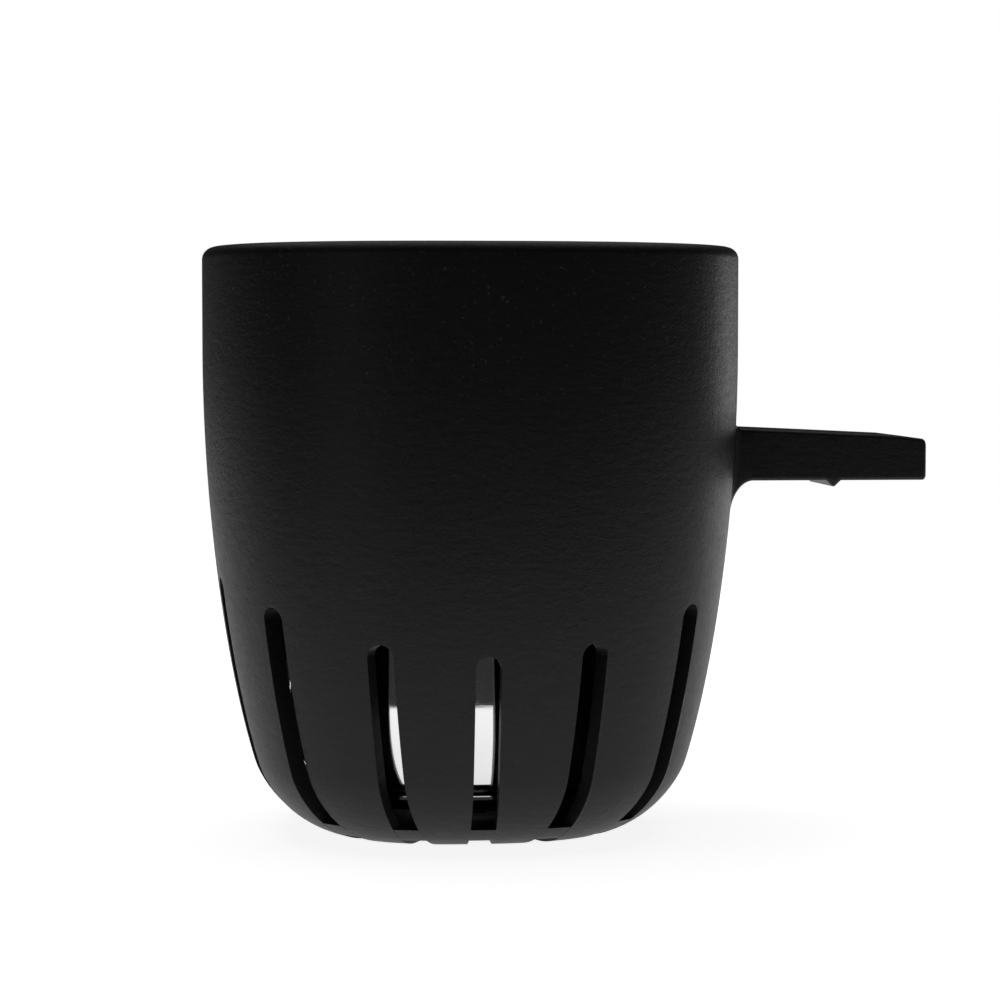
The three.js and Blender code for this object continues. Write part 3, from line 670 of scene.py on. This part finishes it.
def can_outline():
    side = bezier((CAN_FOOT, CAN_FOOT_Z), (20.6, CAN_FOOT_Z + 0.9), (CAN_HALF, 9.8), (CAN_HALF, 18.0), 28)
    flange = arc(CAN_HALF + 0.5, CAN_TOP - 1.3, 0.5, 180, 90, 5)
    outside = side + [(CAN_HALF, 24.0), (CAN_HALF, 29.0)] + flange
    outside += [(CAN_FLANGE - 0.2, CAN_TOP - 0.8), (CAN_FLANGE, CAN_TOP - 0.6), (CAN_FLANGE, CAN_TOP - 0.2)]
    outside += [(CAN_FLANGE - 0.2, CAN_TOP), (CAN_HALF - CAN_WALL, CAN_TOP)]
    inside = [(x - CAN_WALL, z) for x, z in reversed(side)]
    return outside + inside


def can_windows():
    cutters = []
    for degrees in (130, 150, 210, 230):
        window = rounded_slab("window", 5.0, 20.0, 20.0, 26.0, centre=(0, -20), corner=0.01, steps=1)
        window.data.transform(Matrix.Rotation(math.radians(degrees), 4, "Z"))
        cutters.append(window)
    return cutters


can = lathe("pump_can_shell", can_outline(), 160, CAN_INSET, closed=True)
cut(can, *can_windows())
can.data.shade_smooth()
can.data.set_sharp_from_angle(angle=math.radians(40))
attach(can, "circulator_body")
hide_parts("pump_can")

base_low, base_high = (tuple(c / MM for c in corner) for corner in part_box("can_base"))
BASE_GAP = 0.25
BASE_THICKNESS = 0.6
INLET = 6.5
OVAL_FROM = 12.0  # the plate is round at its inlet and follows the oval from here outwards


def base_lip():
    """Points up the outside of the base's turned-up lip, over its edge and back down its inside."""
    side = can_outline()
    outer, inner = [], []
    for before, (x, z), after in zip(side, side[1:], side[2:]):
        along = Vector((after[0] - before[0], after[1] - before[1])).normalized()
        away = Vector((along.y, -along.x))
        near, far = Vector((x, z)) + BASE_GAP * away, Vector((x, z)) + (BASE_GAP + BASE_THICKNESS) * away
        if near.y > base_high[2] - 0.2 or far.x > base_high[0] - 0.05:
            break
        inner.append(near)
        outer.append(far)
        edge = (near + far) / 2 + 0.18 * along
    return [tuple(point) for point in outer + [edge] + inner[::-1]]


def build_can_base():
    """The plate with its lip: a round inlet inside, and an oval lip that follows the can outside."""
    under, over = base_low[2], base_low[2] + BASE_THICKNESS
    rows = [(INLET, under), (INLET + 1, under), (OVAL_FROM, under), (CAN_FOOT - 0.5, under)]
    rows += base_lip() + [(OVAL_FROM, over), (INLET, over)]
    sides, points, faces = 160, [], []
    for radius, z in rows:
        share = min(max((radius - INLET) / (OVAL_FROM - INLET), 0), 1)
        for i in range(sides):
            x, y = math.cos(2 * math.pi * i / sides), math.sin(2 * math.pi * i / sides)
            distance = radius
            if share > 0:
                distance += (reach(x, y, radius, half_depth(radius, CAN_INSET)) - radius) * share
            points.append((distance * x, distance * y, z))
    for r in range(len(rows)):
        a, b = r * sides, ((r + 1) % len(rows)) * sides
        for i in range(sides):
            j = (i + 1) % sides
            faces.append((a + i, a + j, b + j, b + i))
    return make_object("can_base_plate", points, faces)


can_base = build_can_base()
can_base.data.set_sharp_from_angle(angle=math.radians(40))
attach(can_base, "circulator_body")
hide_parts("can_base")

# %% [markdown]
# ## The cover
# The cover is a flat oval plate sunk a little below the rim. Its face is a single flat polygon, so
# booleans cut it cleanly, and an angle-limited bevel then rounds the edge of every hole at once.

# %% Cover plate
COVER_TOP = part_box("top_cover")[1][2] / MM
COVER_HALF = BORE_HIGH - 0.3
COVER_UNDER = COVER_TOP - 2.4


def centre_of(node):
    low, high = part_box(node)
    return tuple((p + q) / 2 / MM for p, q in zip(low, high))


def radius_of(node):
    low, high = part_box(node)
    return (high[0] - low[0]) / 2 / MM


def plug(radius, low, high, centre, sides=64):
    return lathe("plug", [(radius, low), (radius, high)], sides, centre=centre)


BUTTONS = ("down", "start", "up")
FLANGE = 0.8
SCREWS = tuple(f"cover_screw_{i}" for i in range(1, 5))
window_low, window_high = (tuple(c / MM for c in corner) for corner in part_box("display_window"))
WINDOW_SIZE = (window_high[0] - window_low[0], window_high[1] - window_low[1])


def build_cover():
    skirt = COVER_HALF - 1.6
    rows = [(skirt, COVER_UNDER), (skirt, 62.8), (COVER_HALF, 62.8), (COVER_HALF, COVER_TOP)]
    cover = lathe("cover_plate", rows, 160, WALL + 0.3)
    cutters = []
    for name in BUTTONS:
        x, y, _ = centre_of(name + "_button")
        cutters.append(plug(radius_of(name + "_button") - FLANGE + 0.3, 60, 75, (x, y)))
    for name in SCREWS:
        x, y, _ = centre_of(name)
        cutters.append(plug(2.3, COVER_TOP - 1.2, 75, (x, y), 48))
    x, y, _ = centre_of("cord_gland")
    cutters.append(plug(4.1, 60, 75, (x, y)))
    x, y, _ = centre_of("display_window")
    width, depth = (size + 0.3 for size in WINDOW_SIZE)
    cutters.append(rounded_slab("pocket", width, depth, COVER_TOP - 1.5, 75, (x, y), 1.6))
    cut(cover, *cutters)
    cover.data.set_sharp_from_angle(angle=math.radians(30))
    bevel(cover, 0.22, 2, angle=35)
    return cover


cover = build_cover()
apply_modifiers(cover)
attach(cover, "circulator_body")
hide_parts("top_cover")
print("cover:", len(cover.data.polygons), "faces")

# %% [markdown]
# ## Controls
# Each button is a turned cap with a shallow dish for a fingertip and a small raised sign: a plus, a
# minus, or the ring and stroke of a switch. The signs ride with their buttons. The window is a
# smoked slab with a fine edge, the gland a soft ring with a lip, and the screws have a hex socket.

# %% Buttons and their signs
def sign_bar(width, depth, centre, low, high):
    bar = rounded_slab("sign_bar", width, depth, low, high, centre, corner=min(width, depth) * 0.45, steps=4)
    return bar


def build_button(name):
    low, high = (tuple(c / MM for c in corner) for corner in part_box(name + "_button"))
    x, y, _ = centre_of(name + "_button")
    flange = radius_of(name + "_button")
    radius = flange - FLANGE
    top = high[2]
    rows = [(0, low[2]), (flange, low[2]), (flange, low[2] + 0.9), (radius, low[2] + 0.9)]
    rows += [(radius, top - 0.45)]
    rows += arc(radius - 0.45, top - 0.45, 0.45, 0, 90, 6)[1:]
    rows += [(radius * share, top - 0.28 * (1 - share ** 2 / 0.64)) for share in (0.8, 0.66, 0.5, 0.34, 0.17)]
    rows += [(0, top - 0.28)]
    body = lathe(name + "_cap", rows, 72, centre=(x, y))
    face = top - 0.32
    lift = top - 0.04
    if name == "start":
        section = [(1.5, face), (1.9, face), (1.9, lift), (1.5, lift)]
        ring = lathe("sign_ring", section, 64, centre=(x, y), closed=True)
        signs = [ring, sign_bar(0.4, 1.7, (x, y + 1.2), face, lift + 0.02)]
    else:
        signs = [sign_bar(2.4, 0.45, (x, y), face, lift)]
        if name == "up":
            signs.append(sign_bar(0.45, 2.4, (x, y), face, lift - 0.01))
    button = join(name + "_button_cap", body, *signs)
    button.data.shade_smooth()
    button.data.set_sharp_from_angle(angle=math.radians(35))
    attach(button, name + "_button")
    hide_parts(name + "_button")
    return button


buttons = [build_button(name) for name in BUTTONS]

# %% Window, gland and screws
x, y, _ = centre_of("display_window")
window = rounded_slab("display_glass", *WINDOW_SIZE, window_low[2], window_high[2], (x, y), 1.5)
bevel(window, 0.18, 2, angle=60)
apply_modifiers(window)
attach(window, "circulator_body")
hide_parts("display_window")


def build_gland():
    low, high = (tuple(c / MM for c in corner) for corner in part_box("cord_gland"))
    x, y, _ = centre_of("cord_gland")
    lip = radius_of("cord_gland")
    bore, neck = 3.0, lip - 1.2
    rows = [(bore, low[2] + 0.3), (bore + 0.3, low[2]), (neck, low[2]), (neck, COVER_TOP + 0.1)]
    rows += [(lip, COVER_TOP + 0.1), (lip, COVER_TOP + 0.6)]
    rows += arc(lip - 0.7, COVER_TOP + 0.6, 0.7, 0, 90, 6)[1:]
    rows += [(bore + 0.35, high[2]), (bore + 0.1, high[2] - 0.1), (bore, high[2] - 0.35)]
    return lathe("gland_ring", rows, 80, centre=(x, y), closed=True)


gland = build_gland()
gland.data.set_sharp_from_angle(angle=math.radians(40))
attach(gland, "circulator_body")
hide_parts("cord_gland")


def build_screw(name):
    low, high = (tuple(c / MM for c in corner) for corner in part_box(name))
    x, y, _ = centre_of(name)
    top = high[2]
    radius = radius_of(name)
    rows = [(0, low[2]), (1.0, low[2]), (1.1, low[2] + 0.3), (1.1, top - 1.0), (radius, top - 1.0)]
    rows += [(radius, top - 0.25)] + arc(radius - 0.25, top - 0.25, 0.25, 0, 90, 4)[1:] + [(0, top)]
    screw = lathe(name + "_steel", rows, 48, centre=(x, y))
    cut(screw, plug(0.95, top - 0.8, top + 1, (x, y), 6))
    screw.data.set_sharp_from_angle(angle=math.radians(35))
    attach(screw, "circulator_body")
    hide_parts(name)
    return screw


screws = [build_screw(name) for name in SCREWS]
print("controls made")

# %% [markdown]
# ## Shader maths as Python
# A socket wrapped in a small class can be added, multiplied and so on, and each operation adds its
# Math node. One method makes any other node from its settings and inputs. Colours and vectors go
# through their own nodes, because a Math node would turn a colour grey.

# %% The recipe class
class Value:
    """A number socket that Python's operators work on."""

    def __init__(self, recipe, socket):
        self.recipe, self.socket = recipe, socket

    def _math(self, operation, a, b=0.0, clamp=False):
        settings = {"operation": operation, "use_clamp": clamp}
        return self.recipe.value("ShaderNodeMath", settings, {0: a, 1: b})

    def __add__(self, other):
        return self._math("ADD", self, other)

    def __radd__(self, other):
        return self._math("ADD", other, self)

    def __sub__(self, other):
        return self._math("SUBTRACT", self, other)

    def __rsub__(self, other):
        return self._math("SUBTRACT", other, self)

    def __mul__(self, other):
        return self._math("MULTIPLY", self, other)

    def __rmul__(self, other):
        return self._math("MULTIPLY", other, self)

    def __truediv__(self, other):
        return self._math("DIVIDE", self, other)

    def __pow__(self, other):
        return self._math("POWER", self, other)

    def clamped(self):
        return self._math("ADD", self, 0.0, clamp=True)


class Recipe:
    """One material: a Principled surface and the nodes that feed it."""

    def __init__(self, name, **sockets):
        self.material = bpy.data.materials.new(name)
        self.material.use_nodes = True
        self.tree = self.material.node_tree
        self.tree.nodes.clear()
        self.output = self.tree.nodes.new("ShaderNodeOutputMaterial")
        self.surface = self.node("ShaderNodeBsdfPrincipled", {}, {})
        self.set(**sockets)
        self.tree.links.new(self.surface.outputs[0], self.output.inputs["Surface"])
        self.place = self.node("ShaderNodeTexCoord", {}, {}).outputs["Object"]

    def node(self, kind, settings, inputs):
        made = self.tree.nodes.new(kind)
        for key, value in settings.items():
            if key == "stops":
                self._ramp(made, value)
            else:
                setattr(made, key, value)
        for key, value in inputs.items():
            self.feed(made.inputs[key], value)
        return made

    def _ramp(self, made, stops):
        elements = made.color_ramp.elements
        while len(elements) < len(stops):
            elements.new(0.5)
        for element, (position, colour) in zip(elements, stops):
            element.position = position
            element.color = (*colour, 1.0) if isinstance(colour, tuple) else (colour, colour, colour, 1.0)

    def feed(self, socket, value):
        if isinstance(value, Value):
            value = value.socket
        if isinstance(value, bpy.types.NodeSocket):
            self.tree.links.new(value, socket)
        elif isinstance(value, tuple) and len(value) == 3 and socket.type == "RGBA":
            socket.default_value = (*value, 1.0)
        else:
            socket.default_value = value

    def value(self, kind, settings, inputs, output=0):
        return Value(self, self.node(kind, settings, inputs).outputs[output])

    def scaled(self, x, y, z):
        """The place on the piece, stretched by a factor along each axis."""
        inputs = {0: self.place, 1: (x, y, z)}
        return self.node("ShaderNodeVectorMath", {"operation": "MULTIPLY"}, inputs).outputs[0]

    def noise(self, size, detail=3.0, roughness=0.55, where=None):
        """Noise whose features are about this many millimetres across, from 0 to 1."""
        inputs = {"Vector": self.place if where is None else where, "Scale": 1 / (size * MM)}
        inputs.update({"Detail": detail, "Roughness": roughness})
        return self.value("ShaderNodeTexNoise", {}, inputs, "Fac")

    def ramp(self, value, *stops):
        return self.value("ShaderNodeValToRGB", {"stops": stops}, {"Fac": value}, "Color")

    def blend(self, factor, a, b):
        settings = {"data_type": "RGBA", "blend_type": "MIX"}
        return self.node("ShaderNodeMix", settings, {0: factor, 6: a, 7: b}).outputs[2]

    def bump(self, height, depth):
        inputs = {"Height": height, "Distance": depth * MM, "Strength": 1.0}
        return self.node("ShaderNodeBump", {}, inputs).outputs[0]

    def set(self, **sockets):
        for key, value in sockets.items():
            self.feed(self.surface.inputs[key.replace("_", " ")], value)
        return self.material


def finish_with(material, *objects):
    """Gives objects this material and nothing else."""
    for obj in objects:
        obj.data.materials.clear()
        obj.data.materials.append(material)


# %% [markdown]
# ## Moulded black plastic
# The housing is matte black with a spark-eroded grain: fine pits all over, and a faint leathery
# drag that runs round the body. A few pale specks of dust catch the light high on the wall.

# %% Housing plastic
def moulded_plastic(name, colour, rough, grain=1.0, specks=0.0, shine=0.42):
    r = Recipe(name)
    fine = r.noise(0.28, 2.0)
    pits = r.noise(0.75, 3.0, 0.6)
    drag = r.noise(1.0, 3.0, 0.6, r.scaled(0.45, 0.45, 1.3))
    cloud = r.noise(14.0, 2.0)
    height = fine * 0.35 + pits * 0.6 + drag * 0.6
    normal = r.bump(height, 0.045 * grain)
    pale = tuple(c * 1.35 + 0.001 for c in colour)
    deep = tuple(c * 0.8 for c in colour)
    base = r.blend((cloud * 0.6 + pits * 0.5 - 0.05).clamped(), deep, pale)
    if specks:
        height_here = r.value("ShaderNodeSeparateXYZ", {}, {0: r.place}, "Z")
        high_up = r.ramp(height_here * (1 / (HEIGHT * MM)), (0.6, 0.15), (0.95, 1.0))
        dust = r.ramp(r.noise(0.45, 1.0), (0.68, 0.0), (0.77, 1.0)) * high_up
        base = r.blend(dust * specks, base, (0.11, 0.11, 0.115))
    return r.set(Base_Color=base, Roughness=rough + (drag - 0.5) * 0.12 + (fine - 0.5) * 0.1, Normal=normal,
                 Specular_IOR_Level=shine)


housing_plastic = moulded_plastic("housing_black", (0.0032, 0.0032, 0.0034), 0.5, 1.6, 0.3, 0.28)
cover_plastic = moulded_plastic("cover_black", (0.012, 0.012, 0.0125), 0.5, 0.8)
button_plastic = moulded_plastic("button_grey", (0.035, 0.035, 0.037), 0.4, 0.45)
inner_plastic = moulded_plastic("inner_grey", (0.045, 0.045, 0.047), 0.55, 0.8)
finish_with(housing_plastic, housing)
finish_with(cover_plastic, cover)
finish_with(button_plastic, *buttons)


# %% [markdown]
# ## Steel
# The can and its base are drawn and polished, so they keep a very fine drag round their oval and a
# few dull water marks. Screws and pins are plainer steel.

# %% Steels and other metals
def steel(name, colour, rough, drag_depth, stain=0.0):
    r = Recipe(name, Metallic=1.0)
    drag = r.noise(0.3, 3.0, 0.6, r.scaled(0.06, 0.06, 1.0))
    smear = r.noise(5.0, 3.0, 0.6)
    marks = r.ramp(r.noise(2.2, 2.0), (0.55, 0.0), (0.72, 1.0))
    base = r.blend(smear * 0.2 + marks * stain, colour, tuple(c * 0.72 for c in colour))
    rough = rough + (smear - 0.5) * rough * 0.6 + marks * stain * 0.4
    return r.set(Base_Color=base, Roughness=rough.clamped(), Normal=r.bump(drag, drag_depth))


can_steel = steel("polished_steel", (0.86, 0.86, 0.87), 0.06, 0.002, 0.05)
plain_steel = steel("plain_steel", (0.56, 0.56, 0.57), 0.34, 0.012)
brass = steel("brass", (0.72, 0.52, 0.24), 0.33, 0.01, 0.2)
aluminium = steel("aluminium", (0.72, 0.73, 0.74), 0.4, 0.02)
finish_with(can_steel, can, can_base)
finish_with(plain_steel, *screws)


# %% [markdown]
# ## Rubber, glass and boards
# Rubber is very matte with a dusty bloom. The window is smoked and glossy with a faint orange-peel
# ripple. The boards inside are green with a slightly uneven gloss.

# %% The remaining finishes
def rubber_finish():
    r = Recipe("rubber", Specular_IOR_Level=0.3)
    bloom = r.noise(2.5, 4.0, 0.65)
    grain = r.noise(0.35, 2.0)
    base = r.blend(bloom, (0.012, 0.012, 0.012), (0.026, 0.026, 0.025))
    return r.set(Base_Color=base, Roughness=0.74 + bloom * 0.16, Normal=r.bump(grain, 0.03))


def smoked_finish():
    r = Recipe("smoked_window", Coat_Roughness=0.05)
    ripple = r.noise(3.0, 1.0)
    film = r.noise(6.0, 4.0, 0.7)
    base = r.blend(film * 0.5, (0.006, 0.006, 0.008), (0.014, 0.014, 0.017))
    return r.set(Base_Color=base, Roughness=0.07 + film * 0.08, Coat_Weight=0.6 + film * 0.1,
                 Normal=r.bump(ripple, 0.02))


def board_finish():
    r = Recipe("circuit_board")
    weave = r.noise(0.6, 3.0)
    tracks = r.ramp(r.noise(1.6, 0.0, 0.5, r.scaled(1.0, 0.3, 1.0)), (0.5, 0.0), (0.53, 1.0))
    base = r.blend(tracks, (0.016, 0.10, 0.035), (0.03, 0.17, 0.06))
    return r.set(Base_Color=base, Roughness=0.34 + weave * 0.15, Normal=r.bump(tracks, 0.03))


def ferrite_finish():
    r = Recipe("ferrite")
    grit = r.noise(0.5, 3.0, 0.7)
    base = r.blend(grit, (0.03, 0.03, 0.033), (0.085, 0.085, 0.09))
    return r.set(Base_Color=base, Roughness=0.6 + grit * 0.25, Normal=r.bump(grit, 0.05))


rubber = rubber_finish()
smoked = smoked_finish()
board = board_finish()
ferrite = ferrite_finish()
finish_with(rubber, gland)
finish_with(smoked, window)

# %% [markdown]
# ## Finishes for the working pieces
# Pieces that keep their working shape take a finish by their slot in the record.

# %% Finish every node by its slot
BY_SLOT = {
    "body_plastic": housing_plastic,
    "cover_plastic": cover_plastic,
    "button_plastic": button_plastic,
    "inner_plastic": inner_plastic,
    "rubber": rubber,
    "polished_steel": can_steel,
    "plain_steel": plain_steel,
    "brass": brass,
    "ferrite": ferrite,
    "aluminium": aluminium,
    "circuit_board": board,
    "smoked_window": smoked,
}
slot_of = {row["node"]: row["material_slot"] for row in frame["record"]["subparts"]}
for name, node in frame["nodes"].items():
    finish_with(BY_SLOT[slot_of[name]], node)
    node.data.shade_smooth()
    node.data.set_sharp_from_angle(angle=math.radians(35))
print("finished", len(frame["nodes"]), "nodes")

# %% [markdown]
# ## Floor, light and camera
# The floor is a pale light table that ends just in front of the piece and runs far behind it. It is
# as bright as the white surround, so no horizon cuts behind the piece. Right under the piece its glow
# is turned down, a painted shade that deepens the real shadow of the light above. The table lights the
# lower half of the body and draws the two edges, which fade towards the top. A wide soft light hangs
# over it, a low panel at the right rear helps the right edge, and a narrow, weak strip stands at the
# front left. The front stays dim, as black plastic needs.

# %% Floor
FLOOR_RADIUS = 420.0
FLOOR_SHIFT = (70.0, 300.0)


def build_floor_disc():
    disc = lathe("pale_floor", [(FLOOR_RADIUS, -1.0), (FLOOR_RADIUS, -0.02)], 96)
    for vertex in disc.data.vertices:
        vertex.co.x += FLOOR_SHIFT[0] * MM
        vertex.co.y += FLOOR_SHIFT[1] * MM
    r = Recipe("pale_floor", Roughness=0.9, Specular_IOR_Level=0.1, Emission_Strength=1.0)
    distance = r.value("ShaderNodeVectorMath", {"operation": "LENGTH"}, {0: r.place}, "Value")
    tone = r.noise(60.0, 2.0)
    base = r.blend(tone, (0.93, 0.93, 0.93), (0.95, 0.95, 0.95))
    # Painted shade: the glow falls from 1.02 at 200 mm from the body's axis to 0.86 at 40 mm, deepening the
    # real shadow of the light above
    glow_with_painted_shade = r.blend(r.ramp(distance, (0.04, 0.0), (0.2, 1.0)), (0.86, 0.86, 0.86), (1.02, 1.02, 1.02))
    finish_with(r.set(Base_Color=base, Emission_Color=glow_with_painted_shade), disc)


build_floor_disc()


# %% Light
def panel(name, place, aim, size, power):
    light = bpy.data.lights.new(name, "AREA")
    light.shape = "RECTANGLE"
    light.size, light.size_y = (s * MM for s in size)
    light.energy = power
    obj = bpy.data.objects.new(name, light)
    obj.location = Vector(place) * MM
    obj.rotation_euler = (Vector(aim) - Vector(place)).to_track_quat("-Z", "Y").to_euler()
    obj.visible_camera = False
    collection.objects.link(obj)
    return obj


panel("over_light", (0, 160, 620), (0, 0, 0), (700, 700), 1.5)
panel("right_edge_light", (430, 330, 20), (0, 0, 20), (240, 120), 0.3)
panel("left_strip_light", (-241, -344, 0), (0, 0, 15), (46, 300), 0.07)

world = bpy.data.worlds.new("white_surround")
scene.world = world
world.use_nodes = True
tree = world.node_tree
tree.nodes.clear()
seen = tree.nodes.new("ShaderNodeBackground")
seen.inputs["Color"].default_value = (1, 1, 1, 1)
felt = tree.nodes.new("ShaderNodeBackground")
felt.inputs["Color"].default_value = (0.03, 0.03, 0.031, 1)
choice = tree.nodes.new("ShaderNodeMixShader")
path = tree.nodes.new("ShaderNodeLightPath")
surround = tree.nodes.new("ShaderNodeOutputWorld")
tree.links.new(path.outputs["Is Camera Ray"], choice.inputs[0])
tree.links.new(felt.outputs[0], choice.inputs[1])
tree.links.new(seen.outputs[0], choice.inputs[2])
tree.links.new(choice.outputs[0], surround.inputs["Surface"])
scene.view_settings.view_transform = "Standard"

# %% Camera
CAMERA_DISTANCE = 350.0
CAMERA_TURN = -5.6
CAMERA_HEIGHT = 58.0
AIM_HEIGHT = 39.7
AIM_RIGHT = 3.8
FRAME_WIDTH = 121.0
turn = math.radians(CAMERA_TURN)
forward = Vector((-math.sin(turn), math.cos(turn), 0))
sideways = Vector((math.cos(turn), math.sin(turn), 0))
camera_data = bpy.data.cameras.new("camera")
camera_data.sensor_width = 36.0
camera_data.lens = 36.0 * CAMERA_DISTANCE / FRAME_WIDTH
camera_data.clip_start = 0.01
camera = bpy.data.objects.new("camera", camera_data)
place = -forward * CAMERA_DISTANCE + sideways * AIM_RIGHT + Vector((0, 0, CAMERA_HEIGHT))
aim = sideways * AIM_RIGHT + Vector((0, 0, AIM_HEIGHT))
camera.location = place * MM
camera.rotation_euler = (aim - place).to_track_quat("-Z", "Y").to_euler()
collection.objects.link(camera)
scene.camera = camera
print("camera at", [round(c) for c in place])
